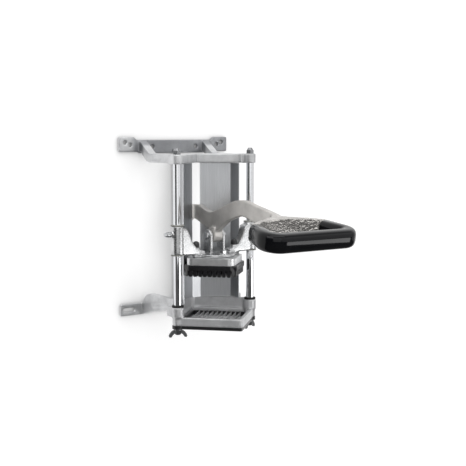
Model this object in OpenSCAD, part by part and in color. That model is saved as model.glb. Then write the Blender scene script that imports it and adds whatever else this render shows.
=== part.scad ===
// Wall-mounted french fry cutter: a lever drives a carriage down two guide rods and pushes a potato
// through a square blade grid. Units are millimetres, +Z is up, the wall face is the plane y = 0 and
// the machine stands out toward -Y. The origin is the midpoint of the two centre holes in the upper
// wall strip, on the wall face. The pose drawn is the one with the lever part-way down.

/* [Guide rods] */
// diameter of each chromed guide rod
rod_d = 12.7; // [10:0.1:16]
// distance between the two rod axes
rod_span = 138; // [120:1:170]
// distance from the wall face to the plane of the rods
rod_setback = 126; // [116:0.5:150]
// visible foot of the rods above the underside of the base
rod_foot_z = 31.8; // [25:0.1:40]
// diameter of the threaded stud at both ends of a rod
stud_d = 6.35; // [5:0.05:8]
// length of stud below the base
stud_below = 15; // [12:0.5:22]
// diameter across the flats of the cap nuts
cap_nut_af = 11.1; // [10:0.1:14]

/* [Base] */
// side of the square base, set corner to corner with the rods
base_side = 110; // [100:1:125]
// height of the front rim
rim_h = 13.4; // [8:0.1:20]
// corner rounding of the base
base_r = 5; // [2:0.5:10]
// side of the square hole the blade cassette fits in
base_hole = 96; // [90:0.5:100]
// height of the two rear walls above the underside of the base
rear_wall_h = 31; // [20:0.5:45]
// thickness of the rear walls
rear_wall_t = 5; // [3:0.5:8]
// diameter of the rod bosses on the base
base_boss_d = 20; // [18:0.5:26]
// thickness of the rubber rings round the feet of the rods
bumper_h = 3; // [2:0.5:6]

/* [Blades] */
// clear opening inside the blade cassette
blade_opening = 88; // [80:0.5:92]
// pitch of the blades, the width of one fry
blade_pitch = 7.6; // [6:0.1:14]
// number of blades each way
blade_count = 10; // [4:2:12]
// thickness of a blade
blade_t = 0.6; // [0.4:0.1:1]
// height of a blade
blade_h = 5.4; // [4:0.1:6]
// thickness of the cassette flange under the base
cassette_t = 5; // [3:0.5:8]

/* [Top frame] */
// underside of the upper arms and of the V beam above the base underside
top_z = 252; // [230:1:300]
// height of the upper arms, beam and bosses
top_h = 15; // [12:0.5:22]
// diameter of the upper rod bosses
top_boss_d = 18.4; // [16:0.1:26]
// distance from the plane of the rods back to the corner of the V beam
beam_back = 56; // [50:1:60]
// thickness of the V beam
beam_t = 7; // [5:0.5:10]

/* [Wall brackets] */
// total width of both wall brackets
bracket_w = 210; // [200:0.5:240]
// thickness of the wall strips
strip_t = 5; // [4:0.5:6]
// height of the centre holes above the underside of the upper arms
wall_hole_rise = 25.4; // [20:0.1:40]
// spacing of the two centre holes
centre_hole_span = 84; // [60:1:110]
// spacing of the inner ear holes
inner_hole_span = 168.8; // [150:0.1:190]
// spacing of the outer ear holes
outer_hole_span = 188; // [170:0.5:210]
// diameter of every wall screw hole
wall_hole_d = 6.5; // [5:0.1:8]
// spacing of the slots in the lower ears
slot_span = 180.4; // [160:0.1:200]
// length of each lower slot
slot_len = 22.4; // [12:0.2:30]
// thickness of the upper arms
arm_t = 14; // [10:0.5:18]
// spacing of the outer faces of the upper arms
arm_span = 135.4; // [130:0.2:150]
// thickness of the lower arms
low_arm_t = 10.5; // [8:0.5:11]
// spacing of the outer faces of the lower arms
low_arm_span = 130; // [130:1:140]
// height of the top of the lower arms above the base underside
low_arm_z = 37; // [32:0.5:40]

/* [Back guard] */
// thickness of the stainless sheet
guard_t = 1.2; // [0.8:0.1:2]
// spacing of the outer faces of the side flanges
guard_w = 107; // [90:1:120]
// depth of the side flanges
flange_depth = 23.2; // [10:1:35]
// width of the narrow back strip and of the slot in it
slot_w = 15.4; // [13:0.1:24]
// height of the bottom of the slot above the base underside
guard_slot_z = 95; // [80:1:125]

/* [Carriage] */
// underside of the guide collars above the base underside
collar_z = 110; // [100:0.5:120]
// length of each guide collar, bushes included
collar_h = 48; // [40:1:70]
// diameter of each guide collar
collar_d = 21; // [19:0.5:28]
// running clearance between rod and bush, on the radius
bush_clear = 0.05; // [0.02:0.01:0.1]
// side of the square plate of the carriage
plate_side = 78; // [60:1:84]
// thickness of that plate
plate_t = 11; // [6:0.5:14]
// thickness of the webs between collars and plate
web_t = 16; // [10:0.5:16]
// side of the black pusher block
pusher_side = 84; // [74:1:86]
// height of the solid part of the pusher block
pusher_h = 8; // [6:0.5:16]
// length of the fingers under it
finger_h = 10; // [6:0.5:12]
// width of the grooves that pass over the blades
finger_gap = 2.4; // [1.8:0.1:3.5]

/* [Lever] */
// height of the clevis pin above the base underside
pin_z = 138.5; // [130:0.5:150]
// diameter of the clevis pin
pin_d = 8; // [6:0.5:10]
// width of the gap between the clevis ears
clevis_gap = 18; // [14:0.5:22]
// thickness of each clevis ear
ear_t = 5.5; // [4:0.5:8]
// thickness of the lever
lever_t = 10; // [8:0.5:12]
// radius of the lever hub
hub_r = 11.5; // [9:0.5:14]
// distance between the clevis pin and the tail pin of the lever
tail_r = 108; // [100:1:108]
// drop of the tail pin below the clevis pin in the pose drawn
tail_drop = 9; // [0:0.5:14]
// diameter of the tail pin
tail_pin_d = 6; // [5:0.5:8]
// running clearance of the pins, on the radius
pin_clear = 0.05; // [0.02:0.01:0.1]
// forward slope of the handle loop, degrees
loop_slope = 10; // [5:0.5:20]
// lean of the sides of the loop, which draw in toward the arm, degrees
loop_flare = 16; // [0:1:22]
// total width of the grip
grip_w = 164; // [140:1:190]
// distance from the plane of the rods to the front of the grip
grip_front = 263; // [250:1:290]
// thickness of the grip cover seen from above
grip_t = 24; // [18:1:30]
// height of the grip cover
grip_h = 27.5; // [22:0.5:34]

/* [Hidden] */
$fn = 64;
rx = rod_span / 2;
wall_hole_z = top_z + wall_hole_rise;
z_mount = wall_hole_z;
wall_y = rod_setback;
strip_y = wall_y - strip_t;
base_boss_top = rod_foot_z - bumper_h;
ring_top = 7.4;
ring_side = base_hole - 0.4;
blade_up_z = ring_top - 0.2 - blade_h;
blade_low_z = blade_up_z - 0.2 - blade_h;
blade_end = blade_opening / 2 + 2;
pad_t = 5;
pad_r = 33;
plate_top = collar_z - pad_t;
plate_z = plate_top - plate_t;
pusher_z = plate_z - pusher_h;
finger_side = blade_pitch * blade_count + blade_pitch - finger_gap;
pusher_corner = guard_w / 2 - 0.5;
bush_d = 16;
bush_flange = 1.5;
bush_len = 14;
collar_top = collar_z + collar_h;
clevis_r = 10;
screw_z = 143.5;
strut_screw_top = wall_hole_z - 7.4;
strut_screw_low = 8.5;
web_nut_x = 36;
web_back = 7;
web_nut_z = 121.5;
bolt_y = 24;
tail_y = sqrt(tail_r * tail_r - tail_drop * tail_drop);
tail_z = pin_z - tail_drop;
strut_gap = 6.4;
strut_t = 2.8;
strut_slot_h = tail_pin_d + 5;
strut_foot = 2;
strut_top = top_z + 4;
cheek_front = strip_y - 23;
cheek_foot = 24;
tongue_t = 5;
guard_back = 55.4;
guard_bend = 31;
guard_front = guard_bend - flange_depth;
guard_top = top_z + 10;
guard_in = guard_back - guard_t;
flange_in = guard_w / 2 - guard_t;
panel_a = atan2(guard_in - guard_bend, flange_in - slot_w / 2);
guard_screw_x = 36;
guard_screw_y = guard_in - (guard_screw_x - slot_w / 2) * tan(panel_a);
guard_screw_z = top_z + 5.5;
loop_y = -191;
arm_crest = 59.8;
hub_w = clevis_gap - 1;
hub_top = 13.8;
loop_z = 173;
loop_r = 16;
loop_x = grip_w / 2 - grip_t / 2;
loop_len = (grip_front + loop_y) / cos(loop_slope);
loop_v = -(loop_len - grip_t / 2);
loop_corner_x = loop_x - loop_r;
loop_corner_v = loop_v + loop_r;
cover_back_v = -8;
side_run = (cover_back_v - loop_corner_v - loop_r * sin(loop_flare)) / cos(loop_flare);
loop_lap = 0.2;
bar_w = 12;
bar_h = 18;
bar_mid = -11;
ring_in = 9;
ring_rise = 2.5;
ring_h = 22;

alu = [0.74, 0.75, 0.76];
steel = [0.82, 0.83, 0.84];
black = [0.07, 0.07, 0.08];
rubber = [0.05, 0.05, 0.05];

// a node is drawn with the base underside at z = 0 and the rods at y = 0, then set on the wall
module on_wall() {
  translate([0, -rod_setback, -z_mount]) children();
}

// square prism with rounded corners, one corner to the front
module diamond(side, r, h) {
  rotate([0, 0, 45]) {
    translate([-side / 2 + r, -side / 2, 0]) cube([side - 2 * r, side, h]);
    translate([-side / 2, -side / 2 + r, 0]) cube([side, side - 2 * r, h]);
    for (sx = [-1, 1]) {
      for (sy = [-1, 1]) {
        translate([sx * (side / 2 - r), sy * (side / 2 - r), 0]) cylinder(r = r, h = h);
      }
    }
  }
}

// plain square prism, one corner to the front
module diamond_box(side, h) {
  rotate([0, 0, 45]) translate([-side / 2, -side / 2, 0]) cube([side, side, h]);
}

// cylinder along X
module bar_x(r, x0, x1) {
  translate([x0, 0, 0]) rotate([0, 90, 0]) cylinder(r = r, h = x1 - x0);
}

// cylinder along Y
module bar_y(r, y0, y1) {
  translate([0, y0, 0]) rotate([-90, 0, 0]) cylinder(r = r, h = y1 - y0);
}

// hexagonal prism, d across the flats
module hex(d, h) {
  cylinder(d = d / cos(30), h = h, $fn = 6);
}

// extrudes a profile drawn in the plane of Y and Z along X
module side_extrude(x0, x1) {
  translate([x0, 0, 0]) rotate([90, 0, 90]) linear_extrude(height = x1 - x0) children();
}

// extrudes a profile drawn in the plane of X and Z along Y
module front_extrude(y0, y1) {
  translate([0, y1, 0]) rotate([90, 0, 0]) linear_extrude(height = y1 - y0) children();
}

// Catmull-Rom curve through a list of points
function cr(a, b, c, d, t) =
  0.5 * (2 * b + (c - a) * t + (2 * a - 5 * b + 4 * c - d) * t * t
  + (3 * b - a - 3 * c + d) * t * t * t);
function smooth(p, n) = [
  for (i = [0 : len(p) - 2])
    for (k = [0 : n - 1])
      cr(p[max(i - 1, 0)], p[i], p[i + 1], p[min(i + 2, len(p) - 1)], k / n)
];
function flip(p) = [for (q = p) [-q[0], q[1]]];
function reversed(p) = [for (i = [len(p) - 1 : -1 : 0]) p[i]];

// ---- frame ----

// one arm of the upper bracket: it drops from the wall strip and runs forward to the rod boss
module upper_arm(s) {
  outer = arm_span / 2;
  x0 = s > 0 ? outer - arm_t : -outer;
  z0 = top_z + 0.5;
  z1 = top_z + top_h - 0.5;
  under = smooth([[4, z0], [strip_y - 39, z0], [strip_y - 31, z0 + 0.3], [strip_y - 21, z0 + 2.4],
    [strip_y - 11, z0 + 10], [strip_y - 4, z0 + 16.4]], 4);
  over = smooth([[strip_y + 1, z1 + 22], [strip_y - 8, z1 + 16.2], [strip_y - 22, z1 + 6.6],
    [strip_y - 32, z1 + 1], [strip_y - 41, z1]], 4);
  difference() {
    side_extrude(x0, x0 + arm_t)
      polygon(concat(under, [[strip_y + 1, z0 + 18.5]], over, [[strip_y - 41, z1], [4, z1]]));
    // shallow panel sunk in the outer side
    translate([s * outer, 0, z0 + 7]) {
      translate([-1.6, 38, -3.8]) cube([3.2, 44, 7.6]);
      translate([0, 38, 0]) bar_x(3.8, -1.6, 1.6);
      translate([0, 82, 0]) bar_x(3.8, -1.6, 1.6);
    }
  }
}

// one leg of the V-shaped beam, from a rod boss to the back corner
module beam_leg(s) {
  leg = sqrt(rx * rx + beam_back * beam_back) - beam_t / 2;
  a = atan2(beam_back, rx);
  translate([s * rx, 0, top_z]) rotate([0, 0, s > 0 ? 180 - a : a])
    translate([0, -beam_t / 2, 0]) cube([leg, beam_t, top_h]);
}

// places children on a guard panel at a guard screw, +Z out of its back face
module at_guard_screw(s) {
  translate([s * guard_screw_x, guard_screw_y, guard_screw_z]) rotate([0, 0, -s * panel_a])
    rotate([-90, 0, 0]) children();
}

module wall_holes() {
  for (s = [-1, 1]) {
    translate([s * inner_hole_span / 2, 0, wall_hole_z + 3.1])
      bar_y(wall_hole_d / 2, strip_y - 1, wall_y + 1);
    translate([s * outer_hole_span / 2, 0, wall_hole_z + 6.9])
      bar_y(wall_hole_d / 2, strip_y - 1, wall_y + 1);
    translate([s * centre_hole_span / 2, 0, wall_hole_z]) bar_y(wall_hole_d / 2, strip_y - 1, wall_y + 1);
  }
}

module top_casting() {
  color(alu) on_wall() {
    difference() {
      union() {
        translate([-rx, strip_y, wall_hole_z - 10.6]) cube([2 * rx, strip_t, 21.8]);
        translate([0, beam_back, top_z]) cylinder(r = beam_t / 2 + 0.6, h = top_h);
        for (s = [-1, 1]) {
          front_extrude(strip_y, wall_y) polygon([
            [s * (rx - 4), wall_hole_z - 8.6], [s * bracket_w / 2, wall_hole_z - 8.6],
            [s * bracket_w / 2, wall_hole_z + 15.9], [s * (rx + 8), wall_hole_z + 15.9],
            [s * (rx + 3), wall_hole_z + 11.2], [s * (rx - 4), wall_hole_z + 11.2]
          ]);
          upper_arm(s);
          beam_leg(s);
          translate([s * rx, 0, top_z]) cylinder(d = top_boss_d, h = top_h);
          translate([s * (rx + 0.6) - 8.1, 3, top_z - 0.6]) cube([16.2, 10.5, top_h + 0.6]);
          at_guard_screw(s) translate([0, 0, -10]) cylinder(d = 8, h = 10);
        }
      }
      wall_holes();
      for (s = [-1, 1]) {
        translate([s * rx, 0, top_z - 1]) cylinder(d = rod_d, h = 11);
        translate([s * rx, 0, top_z + 5]) cylinder(d = stud_d + 0.3, h = top_h);
        at_guard_screw(s) translate([0, 0, -8]) cylinder(d = 4, h = 9);
      }
      translate([0, 0, strut_screw_top]) bar_y(1.5, strip_y - 1, strip_y + 4);
    }
  }
}

// one arm of the base: it rises from the lower wall strip and runs forward to the rod boss
module lower_arm(s) {
  outer = low_arm_span / 2;
  x0 = s > 0 ? outer - low_arm_t : -outer;
  z1 = low_arm_z;
  under = smooth([[20, 21.5], [36, 18.2], [66, 12], [95, 5.7], [112, 0.6], [strip_y + 1, -1.3]], 4);
  over = smooth([
    [strip_y + 1, 18.5], [strip_y - 4, z1 - 12], [strip_y - 12, z1 - 4.2], [strip_y - 24, z1 - 0.4],
    [strip_y - 36, z1]
  ], 4);
  difference() {
    side_extrude(x0, x0 + low_arm_t)
      polygon(concat(under, [[strip_y + 1, -1.3]], over, [[strip_y - 36, z1], [20, z1]]));
    translate([s * outer, 40, 26.4]) rotate([-atan(8.8 / 46), 0, 0]) {
      translate([-1.6, 0, -3.4]) cube([3.2, 46, 6.8]);
      bar_x(3.4, -1.6, 1.6);
      translate([0, 46, 0]) bar_x(3.4, -1.6, 1.6);
    }
  }
}

module base_casting() {
  color(alu) on_wall() {
    difference() {
      union() {
        difference() {
          union() {
            diamond(base_side, base_r, rim_h);
            rotate([0, 0, 45]) translate([base_side / 2 - base_r, base_side / 2 - base_r, 0])
              cylinder(r = base_r, h = rear_wall_h);
          }
          translate([0, 0, -1]) diamond_box(base_hole, rear_wall_h + 2);
        }
        for (s = [-1, 1]) {
          translate([s * rx, 0, 0]) cylinder(d = base_boss_d - 3, h = rim_h);
          translate([s * rx, 0, rim_h - 0.5]) cylinder(d = base_boss_d, h = base_boss_top - rim_h + 0.5);
          // rear walls
          rotate([0, 0, s * 45]) translate([-s * (base_side / 2 - 9), base_side / 2 - rear_wall_t, 0])
            mirror([s < 0 ? 1 : 0, 0, 0]) cube([base_side - 9 - base_r, rear_wall_t, rear_wall_h]);
          translate([s * (rx + 0.6) - 8.1, 3, rim_h - 0.5]) cube([16.2, 17, 15]);
          lower_arm(s);
          front_extrude(strip_y, wall_y) polygon([
            [s * (low_arm_span / 2 - 6), -1.3], [s * bracket_w / 2, -1.3],
            [s * bracket_w / 2, 18.5], [s * (low_arm_span / 2 - 6), 18.5]
          ]);
        }
        translate([-low_arm_span / 2 + 4, strip_y, 0]) cube([low_arm_span - 8, strip_t, 17]);
      }
      for (s = [-1, 1]) {
        translate([s * rx, 0, 4]) cylinder(d = rod_d, h = 40);
        translate([s * rx, 0, -1]) cylinder(d = stud_d + 0.3, h = 10);
        translate([s * rx, 0, base_boss_top]) cylinder(d = base_boss_d - 0.6, h = 10);
        // slots in the ears
        for (t = [-1, 1]) {
          translate([s * slot_span / 2 + t * (slot_len - wall_hole_d) / 2, 0, 8.4])
            bar_y(wall_hole_d / 2, strip_y - 1, wall_y + 1);
        }
        translate([s * slot_span / 2 - (slot_len - wall_hole_d) / 2, strip_y - 1, 8.4 - wall_hole_d / 2])
          cube([slot_len - wall_hole_d, strip_t + 2, wall_hole_d]);
      }
      translate([0, 0, strut_screw_low]) bar_y(1.5, strip_y - 1, strip_y + 4);
    }
  }
}

module rod(s) {
  color(steel) on_wall() translate([s * rx, 0, 0]) {
    translate([0, 0, 4]) cylinder(d = rod_d, h = top_z + 10 - 4);
    translate([0, 0, -stud_below]) cylinder(d = stud_d, h = stud_below + 5);
    translate([0, 0, top_z + 9]) cylinder(d = stud_d, h = top_h - 9 + 5);
  }
}

module rod_left() {
  rod(-1);
}

module rod_right() {
  rod(1);
}

// hexagonal cap nuts on the upper studs
module cap_nuts() {
  color(steel) on_wall() for (s = [-1, 1]) {
    translate([s * rx, 0, top_z + top_h]) difference() {
      union() {
        hex(cap_nut_af, 5.5);
        translate([0, 0, 5.5]) cylinder(r1 = cap_nut_af / 2 - 0.2, r2 = 3, h = 4);
      }
      translate([0, 0, -1]) cylinder(d = stud_d, h = 6.2);
    }
  }
}

// rubber rings round the feet of the rods
module rod_bumpers() {
  color(rubber) on_wall() for (s = [-1, 1]) {
    translate([s * rx, 0, base_boss_top]) difference() {
      cylinder(d = base_boss_d - 1.4, h = bumper_h);
      translate([0, 0, -1]) cylinder(d = rod_d, h = bumper_h + 2);
    }
  }
}

// removable cassette that carries the blades, held up by the wing nuts
module blade_cassette() {
  color(black) on_wall() {
    difference() {
      union() {
        translate([0, 0, -cassette_t]) diamond(base_side - 2, 4, cassette_t);
        diamond_box(ring_side, ring_top);
        for (s = [-1, 1]) {
          translate([s * rx, 0, -cassette_t]) cylinder(d = 18, h = cassette_t);
        }
      }
      translate([0, 0, -cassette_t - 1]) diamond_box(blade_opening, cassette_t + ring_top + 2);
      for (s = [-1, 1]) {
        translate([s * rx, 0, -cassette_t - 1]) cylinder(d = stud_d + 0.5, h = cassette_t + 2);
        translate([s * (rx + 0.8) - 10, -20, 0]) cube([20, 40, ring_top + 1]);
      }
      rotate([0, 0, 45]) {
        for (i = [0 : blade_count - 1]) {
          p = (i - (blade_count - 1) / 2) * blade_pitch;
          translate([-blade_end, p - blade_t / 2, blade_up_z]) cube([2 * blade_end, blade_t, 20]);
          translate([p - blade_t / 2, -blade_end, blade_low_z]) cube([blade_t, 2 * blade_end, 20]);
        }
      }
    }
  }
}

module blades_upper() {
  color(steel) on_wall() rotate([0, 0, 45]) for (i = [0 : blade_count - 1]) {
    translate([-blade_end, (i - (blade_count - 1) / 2) * blade_pitch - blade_t / 2, blade_up_z])
      cube([2 * blade_end, blade_t, blade_h]);
  }
}

module blades_lower() {
  color(steel) on_wall() rotate([0, 0, 45]) for (i = [0 : blade_count - 1]) {
    translate([(i - (blade_count - 1) / 2) * blade_pitch - blade_t / 2, -blade_end, blade_low_z])
      cube([blade_t, 2 * blade_end, blade_h]);
  }
}

// half of the folded guard seen from above, without the back strip
module guard_half(s) {
  f = guard_w / 2;
  polygon([
    [s * slot_w / 2, guard_in], [s * flange_in, guard_bend], [s * flange_in, guard_front],
    [s * f, guard_front], [s * f, guard_bend + guard_t * tan((90 - panel_a) / 2)],
    [s * (slot_w / 2 + guard_t * tan(panel_a / 2)), guard_back], [s * slot_w / 2, guard_back]
  ]);
}

module back_guard() {
  color(steel) on_wall() {
    difference() {
      union() {
        for (s = [-1, 1]) {
          translate([0, 0, rear_wall_h]) linear_extrude(height = guard_top - rear_wall_h) guard_half(s);
        }
        translate([-slot_w / 2, guard_in, rear_wall_h]) cube([slot_w, guard_t, guard_slot_z - rear_wall_h]);
      }
      for (s = [-1, 1]) {
        at_guard_screw(s) translate([0, 0, -3]) cylinder(d = 4.4, h = 8);
      }
      // the middle and the side flanges stop under the beam
      translate([-24, guard_bend, top_z]) cube([48, 40, 20]);
      translate([-guard_w / 2 - 1, 0, top_z - 0.4]) cube([guard_w + 2, guard_bend - 1, 20]);
    }
  }
}

module guard_screws() {
  color(steel) on_wall() for (s = [-1, 1]) {
    at_guard_screw(s) {
      translate([0, 0, -7.5]) cylinder(d = 4, h = 7.6 + guard_t);
      translate([0, 0, guard_t]) cylinder(d1 = 8, d2 = 6.4, h = 2.4);
    }
  }
}

// upright channel behind the guard: its slotted cheeks carry the tail pin of the lever
module fulcrum_strut() {
  slot_y0 = tail_r * cos(40) - 3.6;
  slot_y1 = tail_r + 4.2;
  w = strut_gap / 2 + strut_t;
  color(alu) on_wall() {
    difference() {
      union() {
        translate([-w, strip_y - strut_t, strut_foot]) cube([2 * w, strut_t, strut_top - strut_foot]);
        translate([-4, strip_y - strut_t, top_z]) cube([8, strut_t, strut_screw_top + 3.4 - top_z]);
        for (s = [-1, 1]) {
          x0 = s > 0 ? strut_gap / 2 : -w;
          translate([x0, cheek_front, cheek_foot])
            cube([strut_t, strip_y - cheek_front, strut_top - cheek_foot]);
          side_extrude(x0, x0 + strut_t) polygon([
            [slot_y0 - 3, tail_z - 9], [cheek_front + 2, tail_z - 26], [cheek_front + 2, tail_z + 26],
            [slot_y0 - 3, tail_z + 9]
          ]);
        }
      }
      translate([-w - 1, slot_y0 + strut_slot_h / 2, tail_z - strut_slot_h / 2])
        cube([2 * w + 2, slot_y1 - slot_y0 - strut_slot_h / 2, strut_slot_h]);
      translate([0, slot_y0 + strut_slot_h / 2, tail_z]) bar_x(strut_slot_h / 2, -w - 1, w + 1);
      translate([0, 0, strut_screw_top]) bar_y(1.7, strip_y - 5, strip_y + 1);
      translate([0, 0, strut_screw_low]) bar_y(1.7, strip_y - 5, strip_y + 1);
    }
  }
}

module strut_screws() {
  color(steel) on_wall() for (z = [strut_screw_low, strut_screw_top]) {
    translate([0, 0, z]) {
      bar_y(1.5, strip_y - strut_t - 0.1, strip_y + 4);
      bar_y(2.8, strip_y - strut_t - 2, strip_y - strut_t);
    }
  }
}

// wing nut turned upside down on a lower stud
module wing_nut(s, yaw) {
  color(steel) on_wall() translate([s * rx, 0, -cassette_t]) rotate([0, 0, yaw]) difference() {
    union() {
      translate([0, 0, -3]) cylinder(d = 13, h = 3);
      translate([0, 0, -9]) cylinder(d1 = 9.5, d2 = 12, h = 6.5);
      for (t = [-1, 1]) {
        front_extrude(-1.6, 1.6) polygon([
          [t * 3.6, -1.5], [t * 6, -1.6], [t * 10.6, -4.4], [t * 13.6, -8.4], [t * 14.8, -11.6],
          [t * 13.4, -13.8], [t * 10.4, -13.4], [t * 8, -9.8], [t * 5.6, -7.8], [t * 3.6, -8]
        ]);
      }
    }
    translate([0, 0, -20]) cylinder(r = stud_d / 2 + 0.05, h = 30);
  }
}

module wing_nut_left() {
  wing_nut(-1, -20);
}

module wing_nut_right() {
  wing_nut(1, 25);
}

// ---- carriage ----

// outline of a web seen from the front, from the collar down to the centre pad
module web(s) {
  edge = smooth([[rx - 8.5, collar_top - 5], [rx - 12, collar_top - 6], [rx - 16, collar_top - 11],
    [rx - 20, collar_top - 21], [rx - 24.5, collar_top - 29.5], [rx - 30, collar_top - 36],
    [rx - 37, collar_top - 40.5], [rx - 44, collar_top - 42.5]], 4);
  outline = concat([[rx - 6, collar_z], [rx - 6, collar_top - 5]], edge,
    [[rx - 46, collar_top - 43], [rx - 46, plate_top], [rx - 36, plate_top], [rx - 32, collar_z]]);
  front_extrude(web_back - web_t, web_back) polygon(s > 0 ? outline : flip(outline));
  // thicker beside the collar, outside the guard
  intersection() {
    front_extrude(0, web_back + 3) polygon(s > 0 ? outline : flip(outline));
    translate([s > 0 ? guard_w / 2 + 1.1 : -guard_w / 2 - 31.1, -20, 0]) cube([30, 40, top_z]);
  }
}

module carriage_casting() {
  ear_x = clevis_gap / 2;
  color(alu) on_wall() {
    difference() {
      union() {
        translate([0, 0, plate_top]) cylinder(r = pad_r, h = pad_t);
        for (s = [-1, 1]) {
          translate([s * rx, 0, collar_z + bush_flange])
            cylinder(d = collar_d, h = collar_h - 2 * bush_flange);
          web(s);
          // clevis ears
          x0 = s > 0 ? ear_x : -ear_x - ear_t;
          translate([x0, -clevis_r, plate_top + 1]) cube([ear_t, 2 * clevis_r, pin_z - plate_top - 1]);
          translate([0, 0, pin_z]) bar_x(clevis_r, x0, x0 + ear_t);
          translate([s * web_nut_x, -2, plate_top]) cylinder(d = 12.5, h = web_nut_z - plate_top);
        }
        translate([0, 0, screw_z]) bar_x(5, -rx - 12, -rx);
      }
      for (s = [-1, 1]) {
        translate([s * rx, 0, collar_z - 1]) cylinder(d = rod_d + 2, h = collar_h + 2);
        translate([s * rx, 0, collar_z - 1]) cylinder(d = collar_d + 0.6, h = bush_flange + 1);
        translate([s * rx, 0, collar_z - 1]) cylinder(d = bush_d, h = bush_len + 1);
        translate([s * rx, 0, collar_top - bush_len]) cylinder(d = bush_d, h = bush_len + 1);
        translate([s * web_nut_x, -2, plate_top - 1]) cylinder(d = 5, h = 40);
        translate([s * web_nut_x, -2, web_nut_z]) cylinder(d = 15.2, h = 14);
        translate([0, s * bolt_y, plate_top - 1]) cylinder(d = 6, h = pad_t + 2);
      }
      translate([0, 0, pin_z]) bar_x(pin_d / 2, -30, 30);
      translate([0, 0, screw_z]) bar_x(3.05, -rx - 14, -rx - 9);
      // the gap between the ears stays clear of the pad
      translate([-clevis_gap / 2, -12.5, collar_z - 0.4]) cube([clevis_gap, 25, 1]);
    }
  }
}

// flanged bushes in both ends of the collars
module collar_bushes() {
  color([0.78, 0.78, 0.74]) on_wall() for (s = [-1, 1]) {
    for (t = [0, 1]) {
      translate([s * rx, 0, t > 0 ? collar_top : collar_z]) mirror([0, 0, t]) difference() {
        union() {
          cylinder(d = collar_d, h = bush_flange);
          cylinder(d = bush_d, h = bush_len);
        }
        translate([0, 0, -1]) cylinder(r = rod_d / 2 + bush_clear, h = bush_len + 2);
      }
    }
  }
}

module pusher_plate() {
  color(alu) on_wall() translate([0, 0, plate_z]) difference() {
    diamond(plate_side, 11, plate_t);
    for (s = [-1, 1]) {
      translate([s * web_nut_x, -2, -1]) cylinder(d = 5, h = plate_t + 2);
      translate([0, s * bolt_y, -1]) cylinder(d = 6, h = plate_t + 2);
    }
  }
}

// black block whose fingers pass between the blades
module pusher_block() {
  color(black) on_wall() difference() {
    union() {
      translate([0, 0, pusher_z]) diamond_box(pusher_side, pusher_h);
      translate([0, 0, pusher_z - finger_h]) diamond_box(finger_side, finger_h + 1);
    }
    rotate([0, 0, 45]) for (i = [0 : blade_count - 1]) {
      p = (i - (blade_count - 1) / 2) * blade_pitch;
      translate([-60, p - finger_gap / 2, pusher_z - finger_h - 1]) cube([120, finger_gap, finger_h + 1]);
      translate([p - finger_gap / 2, -60, pusher_z - finger_h - 1]) cube([finger_gap, 120, finger_h + 1]);
    }
    // corners cut off to clear the guard and the bosses
    for (a = [0 : 90 : 270]) {
      rotate([0, 0, a]) translate([pusher_corner, -30, pusher_z - finger_h - 1]) cube([20, 60, 40]);
    }
    for (s = [-1, 1]) {
      translate([s * web_nut_x, -2, pusher_z + 2]) cylinder(d = 5, h = 20);
      translate([0, s * bolt_y, pusher_z + 2]) cylinder(d = 6, h = 20);
    }
  }
}

// hex bolts through the centre pad into the pusher block
module plate_bolts() {
  color(steel) on_wall() for (s = [-1, 1]) {
    translate([0, s * bolt_y, collar_z]) {
      translate([0, 0, -pad_t - plate_t - pusher_h + 2]) cylinder(d = 6, h = pad_t + plate_t + pusher_h - 1);
      cylinder(d = 14, h = 1.6);
      translate([0, 0, 1.5]) hex(10, 4.5);
    }
  }
}

// black cap nuts and studs at the feet of the webs
module web_nuts() {
  color(black) on_wall() for (s = [-1, 1]) {
    translate([s * web_nut_x, -2, 0]) {
      translate([0, 0, pusher_z + 2]) cylinder(d = 5, h = web_nut_z - pusher_z - 1);
      translate([0, 0, web_nut_z]) cylinder(d = 11, h = 4);
      translate([0, 0, web_nut_z + 4]) rotate_extrude() intersection() {
        circle(r = 5.5);
        square([6, 6]);
      }
    }
  }
}

module clevis_pin() {
  w = clevis_gap / 2 + ear_t;
  color(steel) on_wall() translate([0, 0, pin_z]) {
    difference() {
      bar_x(pin_d / 2, -w - 1, w + 4.5);
      translate([w, 0, 0]) bar_x(pin_d, 1.1, 2.3);
    }
    translate([0, 0, 0]) bar_x(pin_d / 2 - 1, -w, w + 4);
    bar_x(pin_d / 2 + 1.8, -w - 3, -w);
  }
}

// spring clip in the groove of the clevis pin
module pin_clip() {
  w = clevis_gap / 2 + ear_t;
  color(steel) on_wall() translate([0, 0, pin_z]) difference() {
    bar_x(pin_d / 2 + 2.2, w + 1.2, w + 2.2);
    bar_x(pin_d / 2 - 1, w, w + 4);
    translate([w, -1.8, -20]) cube([4, 3.6, 20]);
  }
}

// screw in the side of the left collar
module thumb_screw() {
  color(steel) on_wall() translate([-rx, 0, screw_z]) {
    bar_x(3, -16, -9.2);
    bar_x(4.3, -20, -12.4);
    bar_x(3.2, -23, -19.5);
  }
}

// ---- lever ----

// places children in the tilted plane of the handle loop, at its back inner edge
module in_loop() {
  translate([0, loop_y, loop_z]) rotate([loop_slope, 0, 0]) children();
}

// sweep of a profile along the leaning sides, the corners and the front of the loop; the front is a hair
// thicker than the corners that run into it
module loop_sweep(run) {
  for (s = [-1, 1]) {
    translate([s * loop_corner_x, loop_corner_v, bar_mid]) scale([s, 1, 1]) rotate([0, 0, loop_flare]) {
      mirror([0, 1, 0]) rotate_extrude(angle = 90 + loop_flare) translate([loop_r, 0]) children();
      translate([loop_r, 0, 0]) rotate([-90, 0, 0]) linear_extrude(height = run) children();
    }
  }
  translate([-loop_corner_x - loop_lap, loop_v, bar_mid]) rotate([90, 0, 90])
    linear_extrude(height = 2 * (loop_corner_x + loop_lap)) scale(1.004) children();
}

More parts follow.
